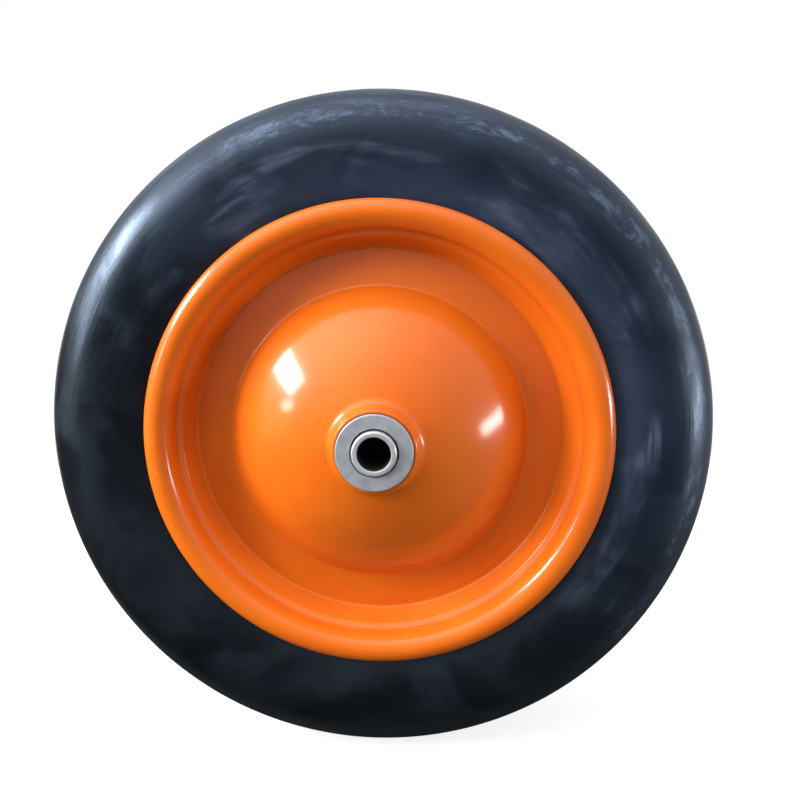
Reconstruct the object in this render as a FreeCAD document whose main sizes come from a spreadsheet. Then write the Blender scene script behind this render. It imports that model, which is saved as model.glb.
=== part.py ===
import FreeCAD, Part

import math
import os

import Sketcher
from FreeCAD import Placement, Rotation, Vector

# A wheelbarrow wheel. The axle runs along Y through the origin, the wheel's centre. The side that
# usually shows faces -Y. Pieces that come in pairs are drawn at the back, where Y is positive, and
# turned half a turn about Z for the front. Each section is drawn in the XY plane: X is the distance
# from the axle and Y the distance along it.

# Every size, in millimetres, or in degrees where the name says angle
SIZES = (
    ("tyre_radius", 175.8),
    ("tyre_half_width", 40.0),
    ("crown_bend", 100.0),
    ("widest_share", 0.53),
    ("heel_drop", 1.9),
    ("lip_gap", 3.0),
    ("tread_groove_width", 4.0),
    ("tread_groove_depth", 3.0),
    ("tread_groove_pitch", 13.0),
    ("seat_radius", 100.5),
    ("rim_sheet", 2.0),
    ("flare_start", 14.0),
    ("flare_angle", 24.0),
    ("flare_width", 7.6),
    ("wall_height", 2.2),
    ("roll_radius", 7.5),
    ("roll_end_angle", 57.0),
    ("rim_bend", 4.0),
    ("disc_sheet", 1.8),
    ("disc_edge_drop", 2.6),
    ("web_lift", 1.4),
    ("web_rise", 3.6),
    ("web_width", 21.7),
    ("crease_bend", 2.4),
    ("dome_base_bend", 4.0),
    ("neck_length", 10.5),
    ("neck_bend", 6.0),
    ("neck_edge_round", 1.3),
    ("hub_half_length", 63.0),
    ("hub_wall", 1.54),
    ("hub_chamfer", 0.5),
    ("bearing_radius", 17.46),
    ("bearing_width", 11.1),
    ("cup_chamfer", 0.6),
    ("axle_radius", 7.94),
    ("groove_floor", 1.535),
    ("ball_clearance", 0.05),
    ("shoulder_share", 0.567),
    ("race_projection", 2.0),
    ("race_edge_chamfer", 0.6),
    ("flange_overhang", 1.29),
    ("flange_thickness", 2.0),
    ("flange_edge_chamfer", 0.6),
    ("flange_gap", 0.9),
    ("spacer_wall", 2.0),
)

# Places that more than one piece shares, as formulas of the sizes
SEAT_INNER = "(Sizes.seat_radius - Sizes.rim_sheet)"
WALL_INNER = f"({SEAT_INNER} + Sizes.flare_width)"
WALL_OUTER = f"({WALL_INNER} + Sizes.rim_sheet)"
FLARE_END = "(Sizes.flare_start + Sizes.flare_width / tan(Sizes.flare_angle))"
FLARE_SHIFT = "(Sizes.rim_sheet * tan(Sizes.flare_angle / 2))"
BEND_REACH = "(Sizes.rim_bend * tan(Sizes.flare_angle / 2))"
ROLL_HEIGHT = f"({FLARE_END} + Sizes.wall_height)"
ROLL_CENTRE = f"({WALL_INNER} + Sizes.roll_radius)"
HEEL_END = f"({ROLL_CENTRE} + (Sizes.roll_radius - Sizes.rim_sheet) * sin(Sizes.roll_end_angle))"
LIP_EDGE = f"({ROLL_HEIGHT} + (Sizes.roll_radius - Sizes.rim_sheet) * cos(Sizes.roll_end_angle))"
WIDEST_RADIUS = f"({HEEL_END} + Sizes.widest_share * (Sizes.tyre_radius - {HEEL_END}))"
WEB_RIM_HEIGHT = "(Sizes.flare_start + Sizes.web_lift)"
WEB_ROOT_HEIGHT = f"({WEB_RIM_HEIGHT} + Sizes.web_rise)"
DOME_BASE_RADIUS = f"({SEAT_INNER} - Sizes.web_width)"
HUB_RADIUS = "(Sizes.bearing_radius + Sizes.hub_wall)"
NECK_FOOT = "(Sizes.hub_half_length - Sizes.neck_length)"
BEARING_INNER_END = "(Sizes.hub_half_length - Sizes.bearing_width)"
BALL_PLANE = "(Sizes.hub_half_length - Sizes.bearing_width / 2)"
BALL_CIRCLE = "((Sizes.bearing_radius + Sizes.axle_radius) / 2)"
GROOVE_RADIUS = "((Sizes.bearing_radius - Sizes.axle_radius) / 2 - Sizes.groove_floor)"
BALL_RADIUS = f"({GROOVE_RADIUS} - Sizes.ball_clearance)"
RACE_RADIUS = f"({BALL_CIRCLE} - Sizes.shoulder_share * {BALL_RADIUS})"
CUP_SHOULDER = f"({BALL_CIRCLE} + Sizes.shoulder_share * {BALL_RADIUS})"
FLANGE_RADIUS = "(Sizes.bearing_radius + Sizes.flange_overhang)"
FLANGE_FACE = "(Sizes.hub_half_length + Sizes.flange_thickness)"
RACE_END = f"({FLANGE_FACE} + Sizes.race_projection)"

HALF_TURN = Placement(Vector(0, 0, 0), Rotation(Vector(0, 0, 1), 180))
AXIS_X, AXIS_Y = range(-1, -3, -1)
START, END, CENTRE = range(1, 4)
FINE = 1e-5

doc = FreeCAD.newDocument("barrow_wheel")


def make_sheet():
    """Fill the spreadsheet with the sizes, one alias each."""
    sheet = doc.addObject("Spreadsheet::Sheet", "Sizes")
    for row, (alias, number) in enumerate(SIZES, start=1):
        sheet.set(f"A{row}", alias)
        sheet.set(f"B{row}", str(number))
        sheet.setAlias(f"B{row}", alias)
    doc.recompute()
    return sheet


def number_of(text):
    """The value that a formula has now."""
    return float(sizes.evalExpression(text))


class Line:
    """A straight run of a path, from one point towards another."""

    def __init__(self, start, end):
        self.start = Vector(*start, 0)
        self.way = (Vector(*end, 0) - self.start).normalize()
        self.left = Vector(-self.way.y, self.way.x, 0)

    def reach(self, point):
        """How far a point lies to the left of the run."""
        return (point - self.start).dot(self.left)

    def foot(self, point):
        """The nearest point of the run."""
        return self.start + self.way * (point - self.start).dot(self.way)

    def beside(self, distance):
        """The run that lies to the left by a distance."""
        start = self.start + self.left * distance
        end = start + self.way
        return Line((start.x, start.y), (end.x, end.y))


class Bow:
    """A round run of a path. Turn is 1 where the centre is on its left and -1 where it is on its right."""

    def __init__(self, centre, radius, turn):
        self.centre = Vector(*centre, 0)
        self.radius = radius
        self.turn = turn

    def reach(self, point):
        """How far a point lies to the left of the run."""
        return self.turn * (self.radius - (point - self.centre).Length)

    def foot(self, point):
        """The nearest point of the run."""
        return self.centre + (point - self.centre).normalize() * self.radius

    def beside(self, distance):
        """The run that lies to the left by a distance."""
        centre = (self.centre.x, self.centre.y)
        return Bow(centre, self.radius - self.turn * distance, self.turn)


def bend_centre(run, following, radius, guess):
    """The point that lies to the left of both runs by the radius, found by Newton's method."""
    point = Vector(guess)
    step = 1e-6
    for _ in range(60):
        miss = (run.reach(point) - radius, following.reach(point) - radius)
        slopes = []
        for shift in (Vector(step, 0, 0), Vector(0, step, 0)):
            moved = point + shift
            slopes.append((run.reach(moved) - radius - miss[0], following.reach(moved) - radius - miss[1]))
        (a, c), (b, d) = slopes
        scale = step / (a * d - b * c)
        point = point - Vector((miss[0] * d - miss[1] * b) * scale, (miss[1] * a - miss[0] * c) * scale, 0)
    return point


class Section:
    """A closed outline in a body's XY plane, tied to the spreadsheet."""

    def __init__(self, body, name):
        self.sketch = body.newObject("Sketcher::SketchObject", name)
        self.sketch.AttachmentSupport = [(origin_plane(body, "XY_Plane"), "")]
        self.sketch.MapMode = "FlatFace"

    def fix(self, kind, *geometry):
        """Add a constraint that has no size."""
        self.sketch.addConstraint(Sketcher.Constraint(kind, *geometry))

    def size(self, kind, *geometry, text):
        """Add a constraint whose size follows a formula."""
        index = self.sketch.addConstraint(Sketcher.Constraint(kind, *geometry, number_of(text)))
        self.sketch.renameConstraint(index, f"size_{index}")
        self.sketch.setExpression(f"Constraints.size_{index}", text)

    def place(self, geometry, end, x=None, y=None):
        """Tie a point's distances from the axle and from the wheel's middle."""
        if x is not None:
            self.size("DistanceX", AXIS_X, START, geometry, end, text=x)
        if y == "0":
            self.fix("PointOnObject", geometry, end, AXIS_X)
        elif y is not None:
            self.size("DistanceY", AXIS_X, START, geometry, end, text=y)

    def line(self, start, end):
        """Draw a straight edge between two points."""
        return self.sketch.addGeometry(Part.LineSegment(Vector(*start[:2], 0), Vector(*end[:2], 0)), False)

    def arc(self, centre, start, end, turn):
        """Draw a round edge about a centre. Turn is 1 where it runs anticlockwise from start to end."""
        centre = Vector(*centre[:2], 0)
        radius = (Vector(*start[:2], 0) - centre).Length
        angles = [math.atan2(point[1] - centre.y, point[0] - centre.x) for point in (start, end)]
        if turn < 0:
            angles.reverse()
        circle = Part.Circle(centre, Vector(0, 0, 1), radius)
        if angles[1] < angles[0]:
            angles[1] += 2 * math.pi
        return self.sketch.addGeometry(Part.ArcOfCircle(circle, *angles), False)

    def guide(self, x, y):
        """Mark a point that an edge has to run through."""
        spot = Part.Point(Vector(number_of(x), number_of(y), 0))
        point = self.sketch.addGeometry(spot, True)
        self.place(point, START, x, y)
        return point


def origin_plane(body, role):
    """One of the planes of a body's own origin."""
    return next(feature for feature in body.Origin.OriginFeatures if feature.Role == role)


def polygon(section, corners):
    """Draw a closed outline of straight edges through corners given as formulas."""
    points = [(number_of(x), number_of(y)) for x, y in corners]
    edges = [section.line(point, points[(i + 1) % len(points)]) for i, point in enumerate(points)]
    for i, edge in enumerate(edges):
        section.fix("Coincident", edge, END, edges[(i + 1) % len(edges)], START)
        section.place(edge, START, *corners[i])


def run_ends(turn):
    """Which end of an arc a path enters and leaves by."""
    return (START, END) if turn > 0 else (END, START)


def sheet_face(section, runs, bends, first, last):
    """Draw one face of a bent sheet and join its runs by tangent bends.

    Each bend is its radius as a number and its turn. Gives the edges with the ends that the path
    enters and leaves them by, runs and bends in turn.
    """
    stops = [first]
    arcs = []
    for run, following, (radius, turn, corner) in zip(runs, runs[1:], bends):
        centre = bend_centre(run, following, turn * radius, corner)
        stops += [run.foot(centre), following.foot(centre)]
        arcs.append((centre, turn))
    stops.append(last)
    edges = []
    for i, run in enumerate(runs):
        start, end = stops[2 * i], stops[2 * i + 1]
        if isinstance(run, Line):
            edges.append((section.line(start, end), START, END))
        else:
            edge = section.arc(run.centre, start, end, run.turn)
            edges.append((edge, *run_ends(run.turn)))
        if i < len(arcs):
            centre, turn = arcs[i]
            edge = section.arc(centre, end, stops[2 * i + 2], turn)
            edges.append((edge, *run_ends(turn)))
    for (edge, _, leave), (following, enter, _) in zip(edges, edges[1:]):
        section.fix("Tangent", edge, leave, following, enter)
    return edges


def revolve(body, section, name):
    """Turn a section about the axle."""
    feature = body.newObject("PartDesign::Revolution", name)
    feature.Profile = section.sketch
    feature.ReferenceAxis = (section.sketch, ["V_Axis"])
    feature.Angle = 360.0
    doc.recompute()
    return feature


def mirror(body, feature, name):
    """Repeat a half on the other side of the wheel's middle."""
    copy = body.newObject("PartDesign::Mirrored", name)
    copy.Originals = [feature]
    copy.MirrorPlane = (origin_plane(body, "XZ_Plane"), [""])
    body.Tip = copy
    doc.recompute()
    return copy


def cut_groove(body, corners, name):
    """Cut a ring of a straight-sided section out of a body."""
    section = Section(body, f"{name}_section")
    polygon(section, corners)
    feature = body.newObject("PartDesign::Groove", name)
    feature.Profile = section.sketch
    feature.ReferenceAxis = (section.sketch, ["V_Axis"])
    feature.Angle = 360.0
    before = body.Shape.Volume
    body.Tip = feature
    doc.recompute()
    if not body.Shape.Volume < before:
        raise RuntimeError(f"{name} cuts nothing")
    return feature


def new_body(name, front=False):
    """Start a piece, drawn at the back and turned half a turn for the front."""
    body = doc.addObject("PartDesign::Body", name)
    body.Label = name
    if front:
        body.Placement = HALF_TURN
    return body


def make_tyre():
    """The solid rubber tyre: round sidewalls and shoulders, a nearly flat tread with three grooves."""
    body = new_body("tyre")
    section = Section(body, "tyre_section")
    widest = number_of(WIDEST_RADIUS)
    half_width = number_of("Sizes.tyre_half_width")
    tread = number_of("Sizes.tyre_radius")
    crown_bend = number_of("Sizes.crown_bend")
    foot = f"Sizes.flare_start - {FLARE_SHIFT}"
    past_bend_x = f"Sizes.seat_radius + {BEND_REACH} * sin(Sizes.flare_angle)"
    corners = [
        ("Sizes.seat_radius", "0"),
        ("Sizes.seat_radius", f"{foot} - {BEND_REACH}"),
        (past_bend_x, f"{foot} + {BEND_REACH} * cos(Sizes.flare_angle)"),
        (WALL_OUTER, f"{FLARE_END} - {FLARE_SHIFT}"),
        (WALL_OUTER, f"{ROLL_HEIGHT} - Sizes.heel_drop"),
        (HEEL_END, f"{LIP_EDGE} - Sizes.lip_gap"),
    ]
    points = [(number_of(x), number_of(y)) for x, y in corners]
    heel_end = points[-1]
    # The sidewall runs from the heel to the widest point, where it is parallel to the wheel's middle
    reach, rise = widest - heel_end[0], half_width - heel_end[1]
    side_bend = (reach**2 + rise**2) / (2 * rise)
    # The shoulder is tangent to the sidewall there and to the crown, whose centre is on the middle
    depth = tread - widest
    shoulder_bend = (2 * crown_bend * depth - depth**2 - half_width**2) / (2 * (crown_bend - half_width))
    side_centre = (widest, half_width - side_bend)
    shoulder_centre = Vector(widest, half_width - shoulder_bend, 0)
    crown_centre = Vector(tread - crown_bend, 0, 0)
    top = (widest, half_width)
    crown_end = crown_centre + (shoulder_centre - crown_centre).normalize() * crown_bend
    edges = [section.line(a, b) for a, b in zip(points, points[1:])]
    side = section.arc(side_centre, heel_end, top, -1)
    shoulder = section.arc(shoulder_centre, top, crown_end, -1)
    crown = section.arc(crown_centre, crown_end, (tread, 0.0), -1)
    middle = section.line((tread, 0.0), points[0])
    for edge, following in zip(edges, edges[1:]):
        section.fix("Coincident", edge, END, following, START)
    for edge, corner in zip(edges, corners):
        section.place(edge, START, *corner)
    section.place(edges[-1], END, *corners[-1])
    section.fix("Coincident", edges[-1], END, side, END)
    section.place(side, CENTRE, x=WIDEST_RADIUS)
    section.place(side, START, WIDEST_RADIUS, "Sizes.tyre_half_width")
    section.fix("Tangent", side, START, shoulder, END)
    section.fix("Tangent", shoulder, START, crown, END)
    section.size("Radius", crown, text="Sizes.crown_bend")
    section.fix("PointOnObject", crown, CENTRE, AXIS_X)
    section.fix("Coincident", crown, START, middle, START)
    section.place(middle, START, "Sizes.tyre_radius", "0")
    section.fix("Coincident", middle, END, edges[0], START)
    half = revolve(body, section, "tyre_half")
    mirror(body, half, "tyre_both_halves")
    deep = "Sizes.tyre_radius - Sizes.tread_groove_depth"
    proud = "Sizes.tyre_radius + Sizes.tread_groove_depth"
    for count, offset in ((1, ""), (2, " + Sizes.tread_groove_pitch"), (3, " - Sizes.tread_groove_pitch")):
        corners = [
            (deep, f"-Sizes.tread_groove_width / 4{offset}"),
            (deep, f"Sizes.tread_groove_width / 4{offset}"),
            (proud, f"Sizes.tread_groove_width * 3 / 4{offset}"),
            (proud, f"-Sizes.tread_groove_width * 3 / 4{offset}"),
        ]
        cut_groove(body, corners, f"tread_groove_{count}")
    return body


def make_rim():
    """The rolled rim: a flat seat, a flare and an edge that rolls over against the tyre on each side."""
    body = new_body("rim")
    section = Section(body, "rim_section")
    seat = number_of(SEAT_INNER)
    wall = number_of(WALL_INNER)
    roll = number_of("Sizes.roll_radius")
    sheet = number_of("Sizes.rim_sheet")
    flare_start = number_of("Sizes.flare_start")
    flare_end = number_of(FLARE_END)
    roll_height = number_of(ROLL_HEIGHT)
    lean = math.radians(number_of("Sizes.roll_end_angle"))
    bend = number_of("Sizes.rim_bend")
    roll_centre = Vector(wall + roll, roll_height, 0)
    out = Vector(math.sin(lean), math.cos(lean), 0)
    runs = [
        Line((seat, 0.0), (seat, flare_start)),
        Line((seat, flare_start), (wall, flare_end)),
        Line((wall, flare_end), (wall, roll_height)),
    ]
    foot = Vector(seat, flare_start, 0)
    knee = Vector(wall, flare_end, 0)
    inner = sheet_face(
        section,
        runs,
        [(bend + sheet, -1, foot), (bend, 1, knee)],
        Vector(seat, 0, 0),
        Vector(wall, roll_height, 0),
    )
    outer = sheet_face(
        section,
        [run.beside(-sheet) for run in runs],
        [(bend, -1, foot), (bend + sheet, 1, knee)],
        Vector(seat + sheet, 0, 0),
        Vector(wall + sheet, roll_height, 0),
    )
    face_roll = section.arc(roll_centre, Vector(wall, roll_height, 0), roll_centre + out * roll, -1)
    back_roll = section.arc(
        roll_centre, Vector(wall + sheet, roll_height, 0), roll_centre + out * (roll - sheet), -1
    )
    middle = section.line(Vector(seat + sheet, 0, 0), Vector(seat, 0, 0))
    edge = section.line(roll_centre + out * roll, roll_centre + out * (roll - sheet))
    for face, offset in ((inner, ""), (outer, " + Sizes.rim_sheet")):
        (low, _, _), (low_bend, _, _), (flare, _, _), (high_bend, _, _), (high, _, _) = face
        section.place(low, START, f"{SEAT_INNER}{offset}", "0")
        section.fix("Vertical", low)
        section.fix("Vertical", high)
        section.place(high, END, x=f"{WALL_INNER}{offset}")
    foot_guide = section.guide(SEAT_INNER, "Sizes.flare_start")
    knee_guide = section.guide(WALL_INNER, FLARE_END)
    section.fix("PointOnObject", foot_guide, START, inner[2][0])
    section.fix("PointOnObject", knee_guide, START, inner[2][0])
    section.fix("Parallel", inner[2][0], outer[2][0])
    section.size("Distance", foot_guide, START, outer[2][0], text="Sizes.rim_sheet")
    section.size("Radius", inner[1][0], text="Sizes.rim_bend + Sizes.rim_sheet")
    section.size("Radius", outer[1][0], text="Sizes.rim_bend")
    section.size("Radius", inner[3][0], text="Sizes.rim_bend")
    section.size("Radius", outer[3][0], text="Sizes.rim_bend + Sizes.rim_sheet")
    section.fix("Tangent", inner[4][0], END, face_roll, END)
    section.fix("Tangent", outer[4][0], END, back_roll, END)
    section.place(face_roll, CENTRE, y=ROLL_HEIGHT)
    section.size("Radius", face_roll, text="Sizes.roll_radius")
    section.fix("Coincident", face_roll, CENTRE, back_roll, CENTRE)
    section.fix("Coincident", face_roll, START, edge, START)
    section.fix("Coincident", back_roll, START, edge, END)
    section.fix("PointOnObject", face_roll, CENTRE, edge)
    section.place(face_roll, START, y=f"{ROLL_HEIGHT} + Sizes.roll_radius * cos(Sizes.roll_end_angle)")
    section.fix("Coincident", middle, START, outer[0][0], START)
    section.fix("Coincident", middle, END, inner[0][0], START)
    half = revolve(body, section, "rim_half")
    mirror(body, half, "rim_both_halves")
    return body


def make_disc(name, front):
    """A pressed disc: edge flange, flat web, dome and the neck that grips the hub tube."""
    body = new_body(name, front)
    section = Section(body, f"{name}_section")
    sheet = number_of("Sizes.disc_sheet")
    seat = number_of(SEAT_INNER)
    flare_start = number_of("Sizes.flare_start")
    wall = number_of(WALL_INNER)
    flare_end = number_of(FLARE_END)
    edge_height = flare_end - number_of("Sizes.disc_edge_drop")
    web_rim = (seat, number_of(WEB_RIM_HEIGHT))
    web_root = (number_of(DOME_BASE_RADIUS), number_of(WEB_ROOT_HEIGHT))
    hub = number_of(HUB_RADIUS)
    hub_end = number_of("Sizes.hub_half_length")
    neck_foot = number_of(NECK_FOOT)
    # The dome's centre is on the axle, as far from the web's root as from the neck's foot
    spread = web_root[0] ** 2 - hub**2
    dome_height = (web_root[1] + neck_foot) / 2 - spread / (2 * (neck_foot - web_root[1]))
    dome_centre = (0.0, dome_height)
    dome_back = math.hypot(hub, neck_foot - dome_height)
    flange = Line((wall, flare_end), (seat, flare_start))
    web = Line(web_rim, web_root)
    dome = Bow(dome_centre, dome_back, 1)
    neck = Line((hub, 0.0), (hub, hub_end))
    edge_share = (edge_height - flare_start) / (flare_end - flare_start)
    edge_foot = Vector(seat + (wall - seat) * edge_share, edge_height, 0)
    corners = (Vector(*web_rim, 0), Vector(*web_root, 0), Vector(hub, neck_foot, 0))
    bends = [number_of(f"Sizes.{size}") for size in ("crease_bend", "dome_base_bend", "neck_bend")]
    runs = [flange, web, dome, neck]
    back = sheet_face(
        section,
        runs,
        [(bend + sheet, -1, corner) for bend, corner in zip(bends, corners)],
        edge_foot,
        Vector(hub, hub_end, 0),
    )
    face = sheet_face(
        section,
        [run.beside(-sheet) for run in runs],
        [(bend, -1, corner) for bend, corner in zip(bends, corners)],
        edge_foot - flange.left * sheet,
        Vector(hub + sheet, hub_end, 0),
    )
    (flange_back, _, _), (crease_back, _, _), (web_back, _, _), (root_back, _, _) = back[:4]
    (dome_back_edge, _, _), (turn_back, _, _), (neck_back, _, _) = back[4:]
    (flange_face, _, _), (crease_face, _, _), (web_face, _, _), (root_face, _, _) = face[:4]
    (dome_face, _, _), (turn_face, _, _), (neck_face, _, _) = face[4:]
    flare_foot = section.guide(SEAT_INNER, "Sizes.flare_start")
    flare_knee = section.guide(WALL_INNER, FLARE_END)
    web_outer = section.guide(SEAT_INNER, WEB_RIM_HEIGHT)
    web_inner = section.guide(DOME_BASE_RADIUS, WEB_ROOT_HEIGHT)
    neck_root = section.guide(HUB_RADIUS, NECK_FOOT)
    section.fix("PointOnObject", flare_foot, START, flange_back)
    section.fix("PointOnObject", flare_knee, START, flange_back)
    section.fix("PointOnObject", web_outer, START, web_back)
    section.fix("PointOnObject", web_inner, START, web_back)
    section.fix("PointOnObject", web_inner, START, dome_back_edge)
    section.fix("PointOnObject", neck_root, START, dome_back_edge)
    section.fix("Parallel", flange_back, flange_face)
    section.size("Distance", flare_foot, START, flange_face, text="Sizes.disc_sheet")
    section.fix("Parallel", web_back, web_face)
    section.size("Distance", web_outer, START, web_face, text="Sizes.disc_sheet")
    section.fix("PointOnObject", dome_back_edge, CENTRE, AXIS_Y)
    section.fix("Coincident", dome_back_edge, CENTRE, dome_face, CENTRE)
    section.size("Distance", web_inner, START, dome_face, text="Sizes.disc_sheet")
    section.fix("Vertical", neck_back)
    section.fix("Vertical", neck_face)
    section.place(neck_back, END, HUB_RADIUS, "Sizes.hub_half_length")
    section.place(neck_face, END, f"{HUB_RADIUS} + Sizes.disc_sheet", "Sizes.hub_half_length")
    section.place(flange_back, START, y=f"{FLARE_END} - Sizes.disc_edge_drop")
    for bend, outer, inner in (
        ("Sizes.crease_bend", crease_back, crease_face),
        ("Sizes.dome_base_bend", root_back, root_face),
        ("Sizes.neck_bend", turn_back, turn_face),
    ):
        section.size("Radius", outer, text=f"{bend} + Sizes.disc_sheet")
        section.size("Radius", inner, text=bend)
    edge = section.line(edge_foot, edge_foot - flange.left * sheet)
    section.fix("Coincident", flange_back, START, edge, START)
    section.fix("Coincident", flange_face, START, edge, END)
    section.fix("Perpendicular", edge, flange_back)
    mouth = section.line(Vector(hub, hub_end, 0), Vector(hub + sheet, hub_end, 0))
    section.fix("Coincident", neck_back, END, mouth, START)
    section.fix("Coincident", neck_face, END, mouth, END)
    pressing = revolve(body, section, f"{name}_pressing")
    mouth_ring = [(f"{HUB_RADIUS} + Sizes.disc_sheet", "Sizes.hub_half_length")]
    round_rings(body, pressing, mouth_ring, "Sizes.neck_edge_round", f"{name}_neck_edge")
    return body


def ring_edges(shape, rings):
    """Name the round edges of a shape that have the given radii and heights."""
    wanted = [(number_of(x), number_of(y)) for x, y in rings]
    names = []
    for i, edge in enumerate(shape.Edges, start=1):
        curve = edge.Curve
        if not isinstance(curve, Part.Circle):
            continue
        for radius, height in wanted:
            if abs(curve.Radius - radius) < FINE and abs(abs(curve.Center.y) - height) < FINE:
                names.append(f"Edge{i}")
    if len(names) < len(wanted):
        raise RuntimeError("an edge to round isn't there")
    return names


def round_rings(body, feature, rings, radius, name):
    """Round the round edges at the given radii and heights."""
    fillet = body.newObject("PartDesign::Fillet", name)
    fillet.Base = (feature, ring_edges(feature.Shape, rings))
    fillet.setExpression("Radius", radius)
    body.Tip = fillet
    doc.recompute()
    return fillet


def chamfer_rings(body, feature, rings, size, name):
    """Chamfer the round edges at the given radii and heights."""
    chamfer = body.newObject("PartDesign::Chamfer", name)
    chamfer.Base = (feature, ring_edges(feature.Shape, rings))
    chamfer.setExpression("Size", size)
    body.Tip = chamfer
    doc.recompute()
    return chamfer


def make_tube(name, inner, outer, half_length):
    """A plain tube across the wheel's middle."""
    body = new_body(name)
    section = Section(body, f"{name}_section")
    corners = [
        (inner, f"-{half_length}"),
        (outer, f"-{half_length}"),
        (outer, half_length),
        (inner, half_length),
    ]
    polygon(section, corners)
    return body, revolve(body, section, f"{name}_wall")


def make_hub_tube():
    """The tube that carries both bearings, with its mouths chamfered for pressing them in."""
    body, wall = make_tube("hub_tube", "Sizes.bearing_radius", HUB_RADIUS, "Sizes.hub_half_length")
    mouth = [("Sizes.bearing_radius", "Sizes.hub_half_length")]
    chamfer_rings(body, wall, mouth, "Sizes.hub_chamfer", "hub_mouths")
    return body


def make_spacer():
    """The tube between the inner races, which keeps them apart on the axle."""
    outer = "Sizes.axle_radius + Sizes.spacer_wall"
    body, _ = make_tube("spacer_tube", "Sizes.axle_radius", outer, BEARING_INNER_END)
    return body


def race_section(body, name, plain, shoulder, low, high, groove_turn):
    """A race's section: a plain side, two end faces and a shoulder with a ball groove in it."""
    section = Section(body, f"{name}_section")
    circle_x = number_of(BALL_CIRCLE)
    plane = number_of(BALL_PLANE)
    groove = number_of(GROOVE_RADIUS)
    x = number_of(shoulder)
    half = math.sqrt(groove**2 - (circle_x - x) ** 2)
    below, above = (x, plane - half), (x, plane + half)
    bottom, top = number_of(low), number_of(high)
    side = number_of(plain)
    edges = [
        section.line((side, bottom), (side, top)),
        section.line((side, top), (x, top)),
        section.line((x, top), above),
        section.line(below, (x, bottom)),
        section.line((x, bottom), (side, bottom)),
    ]
    arc = section.arc((circle_x, plane), above, below, groove_turn)
    enter, leave = run_ends(groove_turn)
    section.fix("Coincident", edges[0], END, edges[1], START)
    section.fix("Coincident", edges[1], END, edges[2], START)
    section.fix("Coincident", edges[2], END, arc, enter)
    section.fix("Coincident", arc, leave, edges[3], START)
    section.fix("Coincident", edges[3], END, edges[4], START)
    section.fix("Coincident", edges[4], END, edges[0], START)
    section.place(edges[0], START, plain, low)
    section.place(edges[0], END, plain, high)
    section.place(edges[1], END, shoulder, high)
    section.place(edges[3], END, shoulder, low)
    section.place(edges[2], END, x=shoulder)
    section.place(edges[3], START, x=shoulder)
    section.place(arc, CENTRE, BALL_CIRCLE, BALL_PLANE)
    section.size("Radius", arc, text=GROOVE_RADIUS)
    return section


def make_outer_race(name, front):
    """The race that is pressed into the hub tube."""
    body = new_body(name, front)
    section = race_section(
        body,
        name,
        "Sizes.bearing_radius",
        CUP_SHOULDER,
        BEARING_INNER_END,
        "Sizes.hub_half_length",
        -1,
    )
    ring = revolve(body, section, f"{name}_ring")
    edge = [("Sizes.bearing_radius", BEARING_INNER_END)]
    chamfer_rings(body, ring, edge, "Sizes.cup_chamfer", f"{name}_lead_in")
    return body


def make_inner_race(name, front):
    """The race on the axle, drawn out into a sleeve that stands proud of the flange."""
    body = new_body(name, front)
    section = race_section(body, name, "Sizes.axle_radius", RACE_RADIUS, BEARING_INNER_END, RACE_END, 1)
    ring = revolve(body, section, f"{name}_ring")
    rims = [("Sizes.axle_radius", RACE_END), (RACE_RADIUS, RACE_END)]
    chamfer_rings(body, ring, rims, "Sizes.race_edge_chamfer", f"{name}_rims")
    return body


def make_flange(name, front):
    """The flange ring that closes a bearing and stops it against the hub's end."""
    body = new_body(name, front)
    section = Section(body, f"{name}_section")
    hole = f"{RACE_RADIUS} + Sizes.flange_gap"
    corners = [
        (hole, "Sizes.hub_half_length"),
        (FLANGE_RADIUS, "Sizes.hub_half_length"),
        (FLANGE_RADIUS, FLANGE_FACE),
        (hole, FLANGE_FACE),
    ]
    polygon(section, corners)
    ring = revolve(body, section, f"{name}_ring")
    edge = [(FLANGE_RADIUS, FLANGE_FACE)]
    chamfer_rings(body, ring, edge, "Sizes.flange_edge_chamfer", f"{name}_edge")
    return body


def make_balls(side, front):
    """A full ring of balls between the races of one bearing."""
    ball_share = number_of(f"{BALL_RADIUS} / {BALL_CIRCLE}")
    count = int(math.pi / math.asin(ball_share))
    balls = []
    for i in range(count):
        ball = doc.addObject("Part::Sphere", f"{side}_ball_{i + 1}")
        ball.Label = ball.Name
        angle = 360 * i / count
        plane = f"-{BALL_PLANE}" if front else BALL_PLANE
        ball.setExpression("Radius", BALL_RADIUS)
        ball.setExpression("Placement.Base.x", f"{BALL_CIRCLE} * cos({angle})")
        ball.setExpression("Placement.Base.y", plane)
        ball.setExpression("Placement.Base.z", f"{BALL_CIRCLE} * sin({angle})")
        balls.append(ball)
    doc.recompute()
    return balls


def check_and_write():
    """Stop on any failed object, then write one STEP file for each piece."""
    for item in doc.Objects:
        if "Invalid" in item.State or "Error" in item.State:
            raise RuntimeError(f"{item.Name} failed: {item.State}")
    os.makedirs("parts", exist_ok=True)
    for piece in pieces:
        shape = piece.Shape
        if shape.isNull() or not shape.isValid():
            raise RuntimeError(f"{piece.Label} has no valid shape")
        shape.exportStep(f"parts/{piece.Label}.step")
        print(piece.Label, len(shape.Solids), round(shape.Volume, 1))


sizes = make_sheet()
pieces = [make_tyre(), make_rim(), make_hub_tube(), make_spacer()]
for side, front in (("front", True), ("rear", False)):
    pieces.append(make_disc(f"{side}_disc", front))
    pieces.append(make_outer_race(f"{side}_outer_race", front))
    pieces.append(make_inner_race(f"{side}_inner_race", front))
    pieces.append(make_flange(f"{side}_bearing_flange", front))
    pieces += make_balls(side, front)
check_and_write()
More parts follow.
